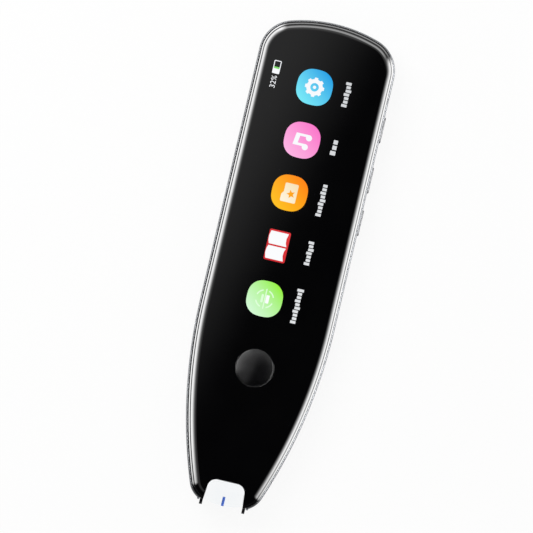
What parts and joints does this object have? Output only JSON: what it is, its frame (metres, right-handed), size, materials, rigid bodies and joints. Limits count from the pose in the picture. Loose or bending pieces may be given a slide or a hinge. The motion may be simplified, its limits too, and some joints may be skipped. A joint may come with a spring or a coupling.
{
  "type": "handheld translator",
  "caption": "Slim scanning translation pen with a touch screen, round home key, side keys, rear camera and speaker, and a scan head in the tip.",
  "frame": {"origin": "middle of the pen's length and width, on the table that it lies on with its rear face down", "axes": "+X across the pen towards the side keys, +Y along it from the tip to the camera end, +Z from the rear face to the screen"},
  "size_m": [0.0421, 0.15, 0.013],
  "materials": {
    "cover_glass": "polished, black backed",
    "frame_gloss": "polished black",
    "cover_paint": "satin gunmetal metallic paint",
    "key_gloss": "domed, polished black",
    "key_satin": "satin dark grey",
    "ring_metal": "black anodised, turned",
    "lens_glass": "coated, dark",
    "guard_clear": "clear, polished",
    "mark_blue": "printed blue",
    "trigger_gloss": "polished dark grey",
    "steel": "stamped or drawn",
    "board_green": "solder mask",
    "chip_black": "moulded epoxy",
    "flex_amber": "polyimide film",
    "battery_foil": "laminated pouch",
    "panel_dark": "polariser film",
    "light_white": "white moulding",
    "rubber_black": "moulded",
    "silicone": "translucent grey",
    "tape_black": "foam and adhesive film",
    "contact_gold": "gold plated",
    "housing_black": "light-absorbing black"
  },
  "bodies": {
    "handset": {"front_glass": "cover_glass", "glass_adhesive": "tape_black", "mid_frame": "frame_gloss", "rear_cover": "cover_paint", "home_key_pad": "silicone", "home_switch": "steel", "side_key_board": "board_green", "side_key_bracket": "steel", "side_switches": "steel", "display_panel": "panel_dark", "backlight": "light_white", "display_tape": "tape_black", "display_flex": "flex_amber", "main_board": "board_green", "processor": "chip_black", "memory_chip": "chip_black", "shield_can": "steel", "wireless_module": "steel", "power_chip": "chip_black", "board_connectors": "light_white", "board_screws": "steel", "top_board": "board_green", "link_flex": "flex_amber", "usb_port": "steel", "usb_tongue": "chip_black", "battery": "battery_foil", "battery_tape": "tape_black", "battery_lead": "rubber_black", "camera_ring": "ring_metal", "camera_lens": "lens_glass", "camera_module": "chip_black", "camera_pad": "rubber_black", "speaker": "chip_black", "speaker_gasket": "tape_black", "speaker_mesh": "tape_black", "speaker_contacts": "contact_gold", "microphone": "contact_gold", "microphone_boot": "rubber_black", "antenna": "flex_amber", "tip_guard": "guard_clear", "aim_mark": "mark_blue", "trigger_spring": "steel", "tip_switch": "steel", "scan_housing": "housing_black", "scan_window": "lens_glass", "scan_lens": "lens_glass", "scan_sensor": "chip_black", "scan_board": "board_green", "scan_screws": "steel", "scan_leds": "light_white", "light_diffuser": "light_white", "scan_flex": "flex_amber"},
    "home_key": {"home_button": "key_gloss"},
    "power_key": {"power_button": "key_satin"},
    "volume_up_key": {"volume_up_button": "key_satin"},
    "volume_down_key": {"volume_down_button": "key_satin"},
    "scan_trigger": {"trigger_frame": "trigger_gloss"}
  },
  "joints": [
    {"name": "home_key_press", "type": "slide", "parent": "handset", "child": "home_key", "axis": [0, 0, -1], "range_m": [0, 0.00035], "stiffness_N_per_m": 60, "deforming": ["home_key_pad"]},
    {"name": "power_key_press", "type": "slide", "parent": "handset", "child": "power_key", "axis": [-1, 0, 0], "range_m": [0, 0.0003], "stiffness_N_per_m": 60},
    {"name": "volume_up_key_press", "type": "slide", "parent": "handset", "child": "volume_up_key", "axis": [-1, 0, 0], "range_m": [0, 0.0003], "stiffness_N_per_m": 60},
    {"name": "volume_down_key_press", "type": "slide", "parent": "handset", "child": "volume_down_key", "axis": [-1, 0, 0], "range_m": [0, 0.0003], "stiffness_N_per_m": 60},
    {"name": "scan_trigger_press", "type": "slide", "parent": "handset", "child": "scan_trigger", "axis": [0, 1, 0], "range_m": [0, 0.0008], "stiffness_N_per_m": 80, "deforming": ["trigger_spring"]}
  ]
}
